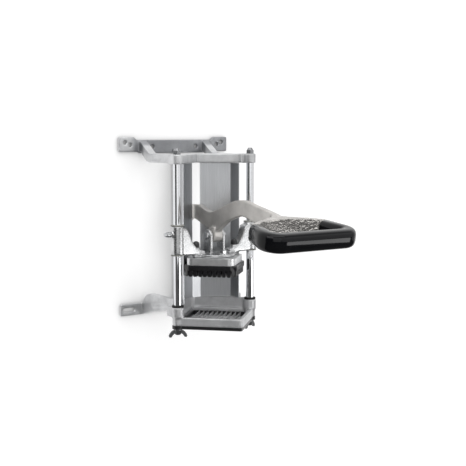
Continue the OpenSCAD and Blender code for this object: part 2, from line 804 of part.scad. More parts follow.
// point at the back end of a side bar, off its centre line by d
function side_end(d) = [
  loop_corner_x + (loop_r + d) * cos(loop_flare) - side_run * sin(loop_flare),
  loop_corner_v + (loop_r + d) * sin(loop_flare) + side_run * cos(loop_flare)
];

module bar_section() {
  square([bar_w, bar_h], center = true);
}

// rectangle with rounded corners, point by point
module grip_section() {
  r = 9;
  polygon([
    for (q = [0 : 3], i = [0 : 8])
      let (a = 90 * q + 11.25 * i)
      [
        (q == 0 || q == 3 ? 1 : -1) * (grip_t / 2 - r) + r * cos(a),
        (q < 2 ? 1 : -1) * (grip_h / 2 - r) + r * sin(a)
      ]
  ]);
}

// side view of the lever: each point is a share of the reach to the loop or to the tail pin, and a share
// of the height of the crest above the clevis pin
function side(p) = [for (q = p) [(q[0] < 0 ? -loop_y : tail_y) * q[0], pin_z + arm_crest * q[1]]];
lever_over = smooth(side([
  [0.688, 0.661], [0.613, 0.747], [0.53, 0.765], [0.45, 0.771], [0.37, 0.763], [0.288, 0.722],
  [0.196, 0.66], [0.105, 0.624], [0.024, 0.624], [-0.042, 0.675], [-0.122, 0.759], [-0.2, 0.848],
  [-0.277, 0.93], [-0.334, 0.973], [-0.39, 0.996], [-0.445, 1], [-0.5, 0.974], [-0.56, 0.93],
  [-0.64, 0.876], [-0.7, 0.84], [-0.758, 0.803], [-0.82, 0.763], [-0.88, 0.712], [-0.93, 0.651]
]), 3);
lever_under = smooth(side([
  [-0.93, 0.33], [-0.869, 0.339], [-0.785, 0.366], [-0.702, 0.402], [-0.628, 0.444], [-0.57, 0.486],
  [-0.519, 0.534], [-0.473, 0.571], [-0.418, 0.588], [-0.365, 0.564], [-0.315, 0.519], [-0.258, 0.463],
  [-0.21, 0.402], [-0.165, 0.32], [-0.105, 0.203], [-0.058, 0.102]
]), 3);
lever_tail = smooth(side([
  [0.102, 0.165], [0.205, 0.219], [0.308, 0.275], [0.415, 0.344], [0.53, 0.383], [0.613, 0.36],
  [0.688, 0.276]
]), 3);
tongue_over = smooth(side([
  [0.613, 0.744], [0.706, 0.635], [0.799, 0.41], [0.892, 0.159], [0.976, -0.034], [1.023, -0.067]
]), 3);
tongue_under = smooth(side([
  [0.986, -0.241], [0.929, -0.2], [0.836, -0.042], [0.725, 0.159], [0.613, 0.351]
]), 3);

module lever() {
  out_end = side_end(bar_w / 2);
  in_end = side_end(-bar_w / 2);
  lead = 5 * [-sin(loop_flare), cos(loop_flare)];
  outer = smooth([
    [3.5, 42], [6, 33.5], [11, 27], [18, 22], [28, 17], [40, 11.5], [51, 6], [59.5, 1],
    out_end + lead, out_end
  ], 4);
  inner = smooth([
    in_end, in_end + lead, [49, -0.4], [43.5, 2.9], [35, 5.7], [24, 7.9], [12, ring_in - 0.2], [0, ring_in]
  ], 4);
  half = concat(outer, [out_end], inner);
  color(alu) on_wall() difference() {
    union() {
      side_extrude(-lever_t / 2, lever_t / 2)
        polygon(concat(
          lever_over, side([[-0.93, 0.651], [-0.93, 0.330]]),
          lever_under, side([[-0.058, 0.102]]),
          lever_tail, side([[0.688, 0.276]])
        ));
      // thinner tongue that carries the tail pin
      side_extrude(-tongue_t / 2, tongue_t / 2) polygon(concat(tongue_over, tongue_under));
      translate([0, tail_y, tail_z]) bar_x(tail_pin_d / 2 + 2.6, -tongue_t / 2, tongue_t / 2);
      translate([0, 0, pin_z]) bar_x(hub_r, -hub_w / 2, hub_w / 2);
      translate([-hub_w / 2, -hub_r, pin_z]) cube([hub_w, hub_r - 1, hub_top]);
      in_loop() {
        translate([0, 0, ring_rise - ring_h]) linear_extrude(height = ring_h)
          polygon(concat(half, [[0, ring_in]], reversed(flip(half))));
        loop_sweep(side_run + 1) bar_section();
      }
    }
    translate([0, 0, pin_z]) bar_x(pin_d / 2 + pin_clear, -20, 20);
    translate([0, tail_y, tail_z]) bar_x(tail_pin_d / 2, -20, 20);
  }
}

module tail_pin() {
  w = strut_gap / 2 + strut_t + 2;
  color(steel) on_wall() translate([0, tail_y, tail_z]) bar_x(tail_pin_d / 2, -w, w);
}

// black cover pressed over the sides and the front of the loop
module grip_cover() {
  color(black) on_wall() in_loop() difference() {
    loop_sweep(side_run) grip_section();
    loop_sweep(side_run + 1) bar_section();
  }
}

top_casting();
base_casting();
rod_left();
rod_right();
cap_nuts();
rod_bumpers();
blade_cassette();
blades_upper();
blades_lower();
back_guard();
guard_screws();
fulcrum_strut();
strut_screws();
wing_nut_left();
wing_nut_right();
carriage_casting();
collar_bushes();
pusher_plate();
pusher_block();
plate_bolts();
web_nuts();
clevis_pin();
pin_clip();
thumb_screw();
lever();
tail_pin();
grip_cover();
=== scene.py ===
"""Dresses the wall-mounted french fry cutter: softened castings, chromed rods, brushed guard, black grip."""

import math

import bmesh
import bpy
from bpy.props import FloatProperty, FloatVectorProperty, PointerProperty
from mathutils import Matrix, Vector


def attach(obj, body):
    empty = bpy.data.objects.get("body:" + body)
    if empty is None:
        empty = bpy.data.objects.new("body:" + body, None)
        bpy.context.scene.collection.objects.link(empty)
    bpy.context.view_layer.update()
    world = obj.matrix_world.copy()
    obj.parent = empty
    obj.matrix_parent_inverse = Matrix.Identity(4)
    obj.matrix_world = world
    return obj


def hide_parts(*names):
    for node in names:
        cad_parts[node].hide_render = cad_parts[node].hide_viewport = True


bl_info = {
    "name": "French fry cutter",
    "version": (1, 0, 0),
    "blender": (4, 5, 0),
    "location": "View3D > Sidebar > Fry cutter",
    "description": "Builds the finished look of a wall-mounted french fry cutter on its CAD frame",
    "category": "Object",
}

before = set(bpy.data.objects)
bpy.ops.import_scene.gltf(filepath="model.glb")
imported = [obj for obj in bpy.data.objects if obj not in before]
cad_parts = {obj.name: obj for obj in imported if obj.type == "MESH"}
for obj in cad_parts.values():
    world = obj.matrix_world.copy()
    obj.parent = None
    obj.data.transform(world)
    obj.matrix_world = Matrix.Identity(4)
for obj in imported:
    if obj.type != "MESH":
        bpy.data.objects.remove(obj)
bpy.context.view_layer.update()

# places, in metres: the plane of the rods, and the undersides of the base rim and of the top casting
ROD_Y = -0.126
BASE_Z = -0.2774
TOP_Z = BASE_Z + 0.252

# the handle loop, in its tilted plane: where a corner turns, how far a side runs and how much it leans out
LOOP = Matrix.Translation((0, ROD_Y - 0.191, BASE_Z + 0.173)) @ Matrix.Rotation(math.radians(10), 4, "X")
CORNER = Vector((0.054, -0.04511, -0.011))
CORNER_R = 0.016
SIDE_RUN = 0.03402
LEAN = math.radians(16)

# half widths and heights of the grip sleeve and of the loop's bar in it
SLEEVE_HALF = (0.012, 0.01375)
BAR_HALF = (0.006, 0.009)
SLEEVE_POINTS = 44

# the stage: the wall stands just behind the wall strips
WALL_Y = 0.0012
FLOOR_Z = -0.85
MACHINE = Vector((0, -0.15, -0.12))
CAMERA_PLACE = (-0.85057, -1.41881, 0.02182)
CAMERA_AIM = Vector((0.02422, -0.14261, -0.13588))
CAMERA_LENS = 75.46

# share of the wall's glow that metal close in front of it still mirrors; the rest fades as painted shade
COVERED_GLOW = 0.375

# the world's grey from straight down (0) to straight up (1)
SKY_GREYS = ((0.0, 0.05), (0.55, 0.05), (0.7, 0.3), (0.85, 0.6), (1.0, 0.6))


# ---- settings ----


class FryCutterSizes(bpy.types.PropertyGroup):
    cast_edge: FloatProperty(
        name="Cast edge", description="Size of the grid that softens the cast edges", default=0.0011,
        min=0.0008, max=0.003, unit="LENGTH",
    )
    guard_bend: FloatProperty(
        name="Guard bend", description="Bend radius of the folded guard", default=0.0028, min=0.001,
        max=0.006, unit="LENGTH",
    )
    grip_crown: FloatProperty(
        name="Grip crown", description="Exponent of the grip's section: 2 is oval, more is squarer",
        default=3.0, min=2.0, max=6.0,
    )
    grip_lip: FloatProperty(
        name="Grip lip", description="Length of the rolled lip at the ends of the grip", default=0.0012,
        min=0.0004, max=0.003, unit="LENGTH",
    )
    finger_point: FloatProperty(
        name="Finger point", description="Chamfer at the end of each pusher finger", default=0.0019,
        min=0.0, max=0.0025, unit="LENGTH",
    )


class FryCutterColours(bpy.types.PropertyGroup):
    casting: FloatVectorProperty(
        name="Castings", description="Colour of the cast aluminium",
        default=(0.71, 0.715, 0.725), size=3, subtype="COLOR", min=0, max=1,
    )
    carriage: FloatVectorProperty(
        name="Carriage", description="Colour of the polished carriage casting",
        default=(0.61, 0.615, 0.62), size=3, subtype="COLOR", min=0, max=1,
    )
    lever: FloatVectorProperty(
        name="Lever", description="Colour of the lever casting",
        default=(0.64, 0.62, 0.595), size=3, subtype="COLOR", min=0, max=1,
    )
    sheet: FloatVectorProperty(
        name="Guard", description="Colour of the stainless sheet",
        default=(0.48, 0.49, 0.505), size=3, subtype="COLOR", min=0, max=1,
    )
    grip: FloatVectorProperty(
        name="Grip", description="Colour of the grip cover",
        default=(0.004, 0.0042, 0.0055), size=3, subtype="COLOR", min=0, max=1,
    )
    block: FloatVectorProperty(
        name="Pusher block", description="Colour of the pusher block",
        default=(0.007, 0.007, 0.009), size=3, subtype="COLOR", min=0, max=1,
    )


def sizes():
    return bpy.context.scene.fry_cutter_sizes


def colours():
    return bpy.context.scene.fry_cutter_colours


# ---- materials ----


THREAD_PITCH = 0.0012


class Graph:
    """A material's node graph, built from named nodes and links."""

    def __init__(self, name):
        self.material = bpy.data.materials.new(name)
        self.material.use_nodes = True
        self.tree = self.material.node_tree
        self.tree.nodes.clear()
        self.shader = self.add("ShaderNodeBsdfPrincipled")
        out = self.add("ShaderNodeOutputMaterial")
        self.link(self.shader, "BSDF", out, "Surface")
        self.coords = self.add("ShaderNodeTexCoord")

    def add(self, kind, **values):
        node = self.tree.nodes.new(kind)
        for key, value in values.items():
            if key in node.inputs:
                node.inputs[key].default_value = value
            else:
                setattr(node, key, value)
        return node

    def link(self, a, out, b, into):
        self.tree.links.new(a.outputs[out], b.inputs[into])

    def mapped(self, scale):
        node = self.add("ShaderNodeMapping", Scale=scale)
        self.link(self.coords, "Object", node, "Vector")
        return node

    def noise(self, scale, detail, rough, stretch=(1, 1, 1)):
        node = self.add("ShaderNodeTexNoise", Scale=scale, Detail=detail, Roughness=rough)
        self.link(self.mapped(stretch), "Vector", node, "Vector")
        return node

    def ramp(self, source, out, stops):
        node = self.add("ShaderNodeValToRGB")
        elements = node.color_ramp.elements
        while len(elements) < len(stops):
            elements.new(0.5)
        for element, (place, value) in zip(elements, stops):
            element.position = place
            element.color = (*value, 1) if isinstance(value, tuple) else (value, value, value, 1)
        self.link(source, out, node, "Fac")
        return node

    def mix(self, kind, factor, a, b):
        node = self.add("ShaderNodeMix", data_type="RGBA", blend_type=kind)
        for index, value in ((0, factor), (6, a), (7, b)):
            if isinstance(value, tuple) and isinstance(value[0], bpy.types.Node):
                self.tree.links.new(value[0].outputs[value[1]], node.inputs[index])
            elif index:
                node.inputs[index].default_value = (*value, 1) if len(value) == 3 else value
            else:
                node.inputs[index].default_value = value
        return node

    def math(self, kind, a, b=0.0, clamp=False):
        node = self.add("ShaderNodeMath", operation=kind, use_clamp=clamp)
        for index, value in ((0, a), (1, b)):
            if isinstance(value, tuple):
                self.tree.links.new(value[0].outputs[value[1]], node.inputs[index])
            else:
                node.inputs[index].default_value = value
        return node

    def zone(self, slopes):
        """Mask that rises with every slope, given as (coordinates, axis, place of 0, place of 1)."""
        mask = None
        for kind, axis, low, high in slopes:
            place = self.add("ShaderNodeSeparateXYZ")
            self.link(self.coords, kind, place, "Vector")
            rise = self.add("ShaderNodeMapRange")
            rise.inputs["From Min"].default_value = low
            rise.inputs["From Max"].default_value = high
            self.link(place, axis, rise, "Value")
            mask = self.math("MULTIPLY", (mask, 0), (rise, 0)) if mask else rise
        return mask

    def edges(self, radius):
        """Mask of the outer and inner edges: 0 on flats, 1 on sharp edges."""
        bevel = self.add("ShaderNodeBevel", samples=4, Radius=radius)
        geometry = self.add("ShaderNodeNewGeometry")
        dot = self.add("ShaderNodeVectorMath", operation="DOT_PRODUCT")
        self.tree.links.new(bevel.outputs["Normal"], dot.inputs[0])
        self.tree.links.new(geometry.outputs["Normal"], dot.inputs[1])
        near = self.math("SUBTRACT", 1.0, (dot, "Value"))
        return self.math("MULTIPLY", (near, 0), 5.0, clamp=True)

    def bump(self, layers, edge_radius):
        """Stacks bump layers of (node, output, strength, height in metres) on a normal with soft edges."""
        before = self.add("ShaderNodeBevel", samples=4, Radius=edge_radius)
        for source, out, strength, height in layers:
            node = self.add("ShaderNodeBump", Strength=strength, Distance=height)
            self.link(source, out, node, "Height")
            self.link(before, "Normal", node, "Normal")
            before = node
        self.link(before, "Normal", self.shader, "Normal")


def scaled(colour, share):
    """A colour made darker or lighter, no channel past 1."""
    return tuple(min(1.0, channel * share) for channel in colour)


def cast_metal(name, colour, rough=0.4, grain=0.5, linish=0.35, metal=0.85, wave=0.25, zone=(), crinkle=0.0):
    """Sand-cast aluminium: mottled tone, fine grain, linishing marks, painted shade in corners and holes,
    and wear-brightened edges.

    A zone, given as Graph.zone's slopes, is crinkled as cast if crinkle is given, or else darkened with
    painted shade."""
    g = Graph(name)
    g.shader.inputs["Metallic"].default_value = metal
    cloud = g.noise(38, 4, 0.6)
    patch = g.noise(11, 2, 0.5)
    fine = g.noise(900, 2, 0.6)
    marks = g.noise(60, 3, 0.7, (1, 1, 26))
    tone = g.ramp(cloud, "Fac", [(0.34, scaled(colour, 0.86)), (0.66, scaled(colour, 1.1))])
    stain = g.ramp(patch, "Fac", [(0.3, 0.82), (0.7, 1.0)])
    wash = g.mix("MULTIPLY", 0.55, (tone, "Color"), (stain, "Color"))
    # painted shade: ambient occlusion darkens the colour in corners, creases and holes
    corner = g.add("ShaderNodeAmbientOcclusion", samples=6, only_local=True, Distance=0.006)
    corner_shade = g.ramp(corner, "AO", [(0.2, 0.03), (0.5, 0.5), (0.85, 1.0)])
    shaded_wash = g.mix("MULTIPLY", 0.9, (wash, 2), (corner_shade, "Color"))
    crinkle_or_shade_mask = g.zone(zone) if zone else None
    # painted shade: without crinkle, the zone's colour is darkened to half
    if zone and not crinkle:
        shaded_wash = g.mix("MULTIPLY", (crinkle_or_shade_mask, 0), (shaded_wash, 2), (0.5, 0.505, 0.52))
    edge = g.edges(0.0011)
    edge_lightened = g.mix("MIX", (g.math("MULTIPLY", (edge, 0), 0.45), 0), (shaded_wash, 2), scaled(colour, 1.35))
    g.link(edge_lightened, 2, g.shader, "Base Color")
    rub = g.ramp(marks, "Fac", [(0.3, rough - 0.07), (0.72, rough + 0.1)])
    soft = g.mix("MIX", (g.math("MULTIPLY", (edge, 0), 0.5), 0), (rub, "Color"), (rough - 0.12,) * 3)
    if crinkle:
        soft = g.mix("MIX", (crinkle_or_shade_mask, 0), (soft, 2), (0.2, 0.2, 0.2))
    g.link(soft, 2, g.shader, "Roughness")
    layers = [(cloud, "Fac", wave, 0.0006), (fine, "Fac", grain, 0.00012), (marks, "Fac", linish, 0.00008)]
    if crinkle:
        folds = g.math("MULTIPLY", (g.noise(170, 2, 0.5, (1, 1, 1.5)), "Fac"), (crinkle_or_shade_mask, 0))
        layers.append((folds, 0, crinkle, 0.004))
    g.bump(layers, 0.0006)
    return g.material


def brushed_sheet(name, colour, along=(1, 1, 0.02), rough=0.32, metal=1.0, edge_wear_and_highlight=0.0006):
    """Stainless sheet with long fine brush marks, faint smears and lightened edges: wear on sharp edges, a
    painted highlight on wide bends.
    """
    g = Graph(name)
    g.shader.inputs["Metallic"].default_value = metal
    g.shader.inputs["Anisotropic"].default_value = 0.35
    hair = g.noise(1500, 2, 0.7, along)
    band = g.noise(240, 2, 0.6, along)
    smear = g.noise(9, 3, 0.6)
    tone = g.ramp(hair, "Fac", [(0.3, scaled(colour, 0.9)), (0.7, scaled(colour, 1.08))])
    streak = g.ramp(band, "Fac", [(0.3, 0.84), (0.7, 1.0)])
    broad = g.mix("MULTIPLY", 0.5, (tone, "Color"), (streak, "Color"))
    # wear and painted highlight: the edge mask lightens sharp edges, and with a wide radius whole bends
    edge = g.edges(edge_wear_and_highlight)
    edge_lightened = g.mix("MIX", (g.math("MULTIPLY", (edge, 0), 0.6), 0), (broad, 2), (0.9, 0.91, 0.92))
    g.link(edge_lightened, 2, g.shader, "Base Color")
    dull = g.ramp(smear, "Fac", [(0.3, rough - 0.06), (0.7, rough + 0.1)])
    brush = g.ramp(hair, "Fac", [(0.3, rough - 0.08), (0.7, rough + 0.1)])
    blur = g.mix("MIX", 0.5, (dull, "Color"), (brush, "Color"))
    g.link(blur, 2, g.shader, "Roughness")
    g.bump([(hair, "Fac", 0.25, 0.00004), (smear, "Fac", 0.15, 0.0006)], 0.0004)
    return g.material


def bright_metal(name, colour, rough=0.08, threads=(), turned=True):
    """Chromed or plated steel: faint turning rings and rubbing, with threads between given heights."""
    g = Graph(name)
    g.shader.inputs["Metallic"].default_value = 1.0
    film = g.noise(26, 3, 0.6)
    rub = g.noise(700, 2, 0.6, (1, 1, 0.03) if turned else (1, 1, 1))
    tint = g.ramp(film, "Fac", [(0.3, scaled(colour, 0.9)), (0.7, scaled(colour, 1.05))])
    g.link(tint, "Color", g.shader, "Base Color")
    dull = g.ramp(film, "Fac", [(0.35, rough * 0.7), (0.7, rough * 1.5)])
    rings = g.ramp(rub, "Fac", [(0.3, rough * 0.7), (0.75, rough * 1.7)])
    wear = g.mix("MIX", 0.5, (dull, "Color"), (rings, "Color"))
    g.link(wear, 2, g.shader, "Roughness")
    layers = [(rub, "Fac", 0.1, 0.00002)]
    if threads:
        place = g.add("ShaderNodeSeparateXYZ")
        g.link(g.coords, "Object", place, "Vector")
        mask = None
        for low, high in threads:
            above = g.math("GREATER_THAN", (place, "Z"), low)
            below = g.math("LESS_THAN", (place, "Z"), high)
            both = g.math("MULTIPLY", (above, 0), (below, 0))
            mask = g.math("MAXIMUM", (mask, 0), (both, 0)) if mask else both
        wave = g.math("SINE", (g.math("MULTIPLY", (place, "Z"), 2 * math.pi / THREAD_PITCH), 0))
        spiral = g.math("MULTIPLY", (wave, 0), (mask, 0))
        layers.append((spiral, 0, 0.9, 0.00035))
    g.bump(layers, 0.0004)
    return g.material


def moulded(name, colour, rough=0.4, coat=0.0, grain=0.3, scale=700.0, dust=0.012, shine=0.5):
    """Moulded plastic or enamel with a fine skin texture, faint dust and edges lightened by wear."""
    g = Graph(name)
    g.shader.inputs["Specular IOR Level"].default_value = shine
    g.shader.inputs["Coat Weight"].default_value = coat
    g.shader.inputs["Coat Roughness"].default_value = 0.06
    skin = g.noise(scale, 3, 0.6)
    haze = g.noise(24, 4, 0.65)
    pale = tuple(c + dust for c in colour)
    tone = g.ramp(haze, "Fac", [(0.35, colour), (0.75, pale)])
    edge = g.edges(0.0008)
    dusty = tuple(c + 4 * dust for c in colour)
    edge_lightened = g.mix("MIX", (g.math("MULTIPLY", (edge, 0), 0.25), 0), (tone, "Color"), dusty)
    g.link(edge_lightened, 2, g.shader, "Base Color")
    dull = g.ramp(haze, "Fac", [(0.3, rough * 0.85), (0.75, rough * 1.25)])
    g.link(dull, "Color", g.shader, "Roughness")
    g.bump([(haze, "Fac", 0.08, 0.0008), (skin, "Fac", grain, 0.00005)], 0.0007)
    return g.material


FINISHES = {}


def make_finishes():
    c = colours()
    # the upper wall strip, right of its left ear, darkened with painted shade
    strip_face = (
        ("Object", "X", -0.085, -0.075), ("Object", "Y", -0.02, -0.014), ("Object", "Z", -0.06, -0.05),
    )
    # the wall of the handle ring that faces the front
    ring_wall = (("Object", "Y", -0.26, -0.264), ("Normal", "Y", -0.2, -0.45))
    # the studs below the base and above the top casting
    studs = [(BASE_Z - 0.016, BASE_Z - 0.0003), (TOP_Z + 0.0152, TOP_Z + 0.03)]
    FINISHES.update(
        casting=cast_metal("cast_aluminium", tuple(c.casting), 0.46, zone=strip_face),
        polished=cast_metal("polished_casting", tuple(c.carriage), 0.26, 0.05, 0.1, 1.0, 0.02),
        plate=cast_metal("linished_plate", (0.88, 0.885, 0.89), 0.36, 0.3, 0.5, 1.0, 0.1),
        lever=cast_metal("lever_casting", tuple(c.lever), 0.42, 0.35, 0.3, 0.75, 0.2, ring_wall, 0.8),
        strut=brushed_sheet("strut_sheet", (0.6, 0.61, 0.62), (1, 1, 0.03), 0.4),
        # painted highlight: the wide edge radius lightens the guard's bends
        guard=brushed_sheet("brushed_guard", tuple(c.sheet), edge_wear_and_highlight=0.003),
        blade=brushed_sheet("blade_strip", (0.86, 0.86, 0.87), (0.05, 0.05, 1), 0.36, 0.6),
        rod=bright_metal("chromed_rod", (0.78, 0.79, 0.81), 0.06, studs),
        zinc=bright_metal("zinc_plate", (0.55, 0.56, 0.57), 0.28, turned=False),
        chrome_bolt=bright_metal("chromed_bolt", (0.8, 0.81, 0.82), 0.1, turned=False),
        nut=bright_metal("grey_zinc", (0.3, 0.305, 0.315), 0.3, turned=False),
        wing=bright_metal("dark_zinc", (0.2, 0.205, 0.21), 0.34, turned=False),
        oxide=moulded("black_oxide", (0.012, 0.012, 0.014), 0.35, 0.2, 0.2),
        enamel=moulded("black_enamel", (0.008, 0.008, 0.009), 0.4, 0.2, 0.5, 420),
        block=moulded("pusher_plastic", tuple(c.block), 0.36, 0.0, 0.3),
        grip=moulded("gloss_grip", tuple(c.grip), 0.08, 0.0, 0.03, 300, 0.002, 0.22),
        rubber=moulded("black_rubber", (0.01, 0.01, 0.01), 0.75, 0.0, 0.6, 900),
        nylon=moulded("pale_nylon", (0.4, 0.4, 0.37), 0.5, 0.0, 0.4, 500),
    )


def dress(node, finish):
    """Gives a CAD node, by its name, or a piece its finish."""
    mesh = (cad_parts[node] if isinstance(node, str) else node).data
    mesh.materials.clear()
    mesh.materials.append(FINISHES[finish])


# ---- pieces ----


def merged_copy(node, whole_flats=True):
    """A bmesh of a CAD node with its loose triangles joined and, if asked, its flats made whole."""
    bm = bmesh.new()
    bm.from_mesh(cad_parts[node].data)
    bmesh.ops.remove_doubles(bm, verts=bm.verts, dist=2e-6)
    if whole_flats:
        bmesh.ops.dissolve_limit(
            bm, angle_limit=math.radians(0.6), use_dissolve_boundaries=False, verts=bm.verts, edges=bm.edges,
            delimit=set(),
        )
    return bm


def finished_piece(name, bm, body, finish, node, sharp_from=None):
    """Turns a bmesh into a smooth-shaded piece that rides on a body and stands for its CAD node."""
    mesh = bpy.data.meshes.new(name)
    bm.to_mesh(mesh)
    bm.free()
    piece = bpy.data.objects.new(name, mesh)
    bpy.context.scene.collection.objects.link(piece)
    mesh.shade_smooth()
    if sharp_from:
        mesh.set_sharp_from_angle(angle=math.radians(sharp_from))
    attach(piece, body)
    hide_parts(node)
    dress(piece, finish)


def softened(node, name, body, finish, grid, rounds):
    """A cast copy of a CAD node: its edges are rounded off as a casting's are."""
    bm = merged_copy(node, whole_flats=False)
    rough_mesh = bpy.data.meshes.new(name + "_rough")
    bm.to_mesh(rough_mesh)
    bm.free()
    rough_piece = bpy.data.objects.new(name + "_rough", rough_mesh)
    bpy.context.scene.collection.objects.link(rough_piece)
    remesh = rough_piece.modifiers.new("Grid", "REMESH")
    remesh.mode = "VOXEL"
    remesh.voxel_size = grid
    remesh.use_smooth_shade = True
    relax = rough_piece.modifiers.new("Relax", "SMOOTH")
    relax.factor = 0.5
    relax.iterations = rounds
    bpy.context.view_layer.update()
    made = rough_piece.evaluated_get(bpy.context.evaluated_depsgraph_get())
    out = bmesh.new()
    out.from_mesh(made.to_mesh())
    made.to_mesh_clear()
    bpy.data.objects.remove(rough_piece)
    bpy.data.meshes.remove(rough_mesh)
    finished_piece(name, out, body, finish, node)


class BuildCastings(bpy.types.Operator):
    """Softens the top, base and carriage castings and finishes the pusher plate"""

    bl_idname = "fry_cutter.castings"
    bl_label = "Castings"

    def execute(self, context):
        grid = sizes().cast_edge
        for node, body, finish, size, rounds in (
            ("top_casting", "frame", "casting", grid, 6), ("base_casting", "frame", "casting", grid, 6),
            ("carriage_casting", "carriage", "polished", grid * 0.75, 20),
        ):
            softened(node, node + "_cast", body, finish, size, rounds)
        dress("pusher_plate", "plate")
        return {"FINISHED"}


class BuildLever(bpy.types.Operator):
    """Softens the lever casting and finishes its tail pin"""

    bl_idname = "fry_cutter.lever"
    bl_label = "Lever"

    def execute(self, context):
        grid = sizes().cast_edge * 1.1
        softened("lever", "lever_cast", "lever_arm", "lever", grid, rounds=9)
        dress("tail_pin", "zinc")
        return {"FINISHED"}


def pushed(bm, edges, step, squeeze=1.0):
    """Extrudes a ring of edges by a step, squeezed toward its middle."""
    made = bmesh.ops.extrude_edge_only(bm, edges=edges)["geom"]
    verts = [g for g in made if isinstance(g, bmesh.types.BMVert)]
    bmesh.ops.translate(bm, verts=verts, vec=step)
    if squeeze != 1.0:
        middle = sum((v.co for v in verts), Vector()) / len(verts)
        bmesh.ops.scale(bm, verts=verts, vec=(squeeze,) * 3, space=Matrix.Translation(-middle))
    return [g for g in made if isinstance(g, bmesh.types.BMEdge) and all(v in verts for v in g.verts)]


def sweep_loop(bm, profile, run):
    """Sweeps a ring of (across, up) points along the loop and returns its first and last rings of edges."""
    lean = Matrix.Rotation(LEAN, 4, "Z")
    start = CORNER + lean @ Vector((CORNER_R, run, 0))
    verts = [bm.verts.new(start + lean @ Vector((across, 0, up))) for across, up in profile]
    first = [bm.edges.new((verts[i - 1], verts[i])) for i in range(len(verts))]
    edges = pushed(bm, first, lean @ Vector((0, -run, 0)))
    for x in (CORNER.x, -CORNER.x):
        if x < 0:
            edges = pushed(bm, edges, (2 * x, 0, 0))
        made = bmesh.ops.spin(
            bm, geom=edges, cent=(x, CORNER.y, CORNER.z), axis=(0, 0, -1), dvec=(0, 0, 0),
            angle=math.pi / 2 + LEAN, steps=16, use_merge=False, use_duplicate=False,
        )
        edges = [g for g in made["geom_last"] if isinstance(g, bmesh.types.BMEdge)]
    return first, pushed(bm, edges, lean.inverted() @ Vector((0, run, 0)))


def build_grip_sleeve():
    """Crowned moulded sleeve with rolled lips, round a channel for the bar of the loop."""
    crown, lip = sizes().grip_crown, sizes().grip_lip
    sleeve_profile = []
    for i in range(SLEEVE_POINTS):
        turn = 2 * math.pi * i / SLEEVE_POINTS
        across, up = math.cos(turn), math.sin(turn)
        sleeve_profile.append((
            SLEEVE_HALF[0] * math.copysign(abs(across) ** (2 / crown), across),
            SLEEVE_HALF[1] * math.copysign(abs(up) ** (2 / crown), up),
        ))
    bar_profile = []
    for across, up in sleeve_profile:
        reach = max(abs(across) / BAR_HALF[0], abs(up) / BAR_HALF[1])
        bar_profile.append((across / reach, up / reach))
    bm = bmesh.new()
    outer = sweep_loop(bm, sleeve_profile, SIDE_RUN - lip)
    inner = sweep_loop(bm, bar_profile, SIDE_RUN)
    for rim, mouth, side in zip(outer, inner, (1, -1)):
        away = Matrix.Rotation(side * LEAN, 4, "Z") @ Vector((0, lip, 0))
        rim = pushed(bm, rim, away * 0.7, 0.97)
        rim = pushed(bm, rim, away * 0.3, 0.93)
        bmesh.ops.bridge_loops(bm, edges=rim + mouth)
    bmesh.ops.transform(bm, matrix=LOOP, verts=bm.verts)
    bmesh.ops.recalc_face_normals(bm, faces=bm.faces)
    finished_piece("grip_sleeve", bm, "lever_arm", "grip", "grip_cover", sharp_from=38)


class BuildGrip(bpy.types.Operator):
    """Moulds the black grip sleeve round the sides and the front of the loop"""

    bl_idname = "fry_cutter.grip"
    bl_label = "Grip cover"

    def execute(self, context):
        build_grip_sleeve()
        return {"FINISHED"}


class BuildGuard(bpy.types.Operator):
    """Folds the stainless guard with real bend radii and finishes the strut behind it"""

    bl_idname = "fry_cutter.guard"
    bl_label = "Back guard"

    def execute(self, context):
        bm = merged_copy("back_guard")
        folds = []
        for edge in bm.edges:
            low, high = (v.co for v in edge.verts)
            upright = (low - high).xy.length < 1e-5 and edge.calc_length() > 0.05
            outer = abs(low.x) > 0.05 and low.y > -0.1
            if upright and outer and edge.is_manifold and edge.calc_face_angle() > math.radians(20):
                folds.append(edge)
        bmesh.ops.bevel(
            bm, geom=folds, offset=sizes().guard_bend, offset_type="OFFSET", affect="EDGES", segments=4,
            profile=0.5, material=-1, clamp_overlap=True,
        )
        finished_piece("folded_guard", bm, "frame", "guard", "back_guard", sharp_from=30)
        dress("guard_screws", "zinc")
        dress("fulcrum_strut", "strut")
        dress("strut_screws", "zinc")
        return {"FINISHED"}


class BuildRods(bpy.types.Operator):
    """Finishes the guide rods, their nuts, rings and wing nuts"""

    bl_idname = "fry_cutter.rods"
    bl_label = "Rods and nuts"

    def execute(self, context):
        for node, finish in (
            ("rod_left", "rod"), ("rod_right", "rod"), ("cap_nuts", "nut"), ("rod_bumpers", "rubber"),
            ("wing_nut_left", "wing"), ("wing_nut_right", "wing"),
        ):
            dress(node, finish)
        return {"FINISHED"}


class BuildBlades(bpy.types.Operator):
    """Finishes the blade cassette and its blades"""

    bl_idname = "fry_cutter.blades"
    bl_label = "Blades"

    def execute(self, context):
        dress("blade_cassette", "enamel")
        dress("blades_upper", "blade")
        dress("blades_lower", "blade")
        return {"FINISHED"}


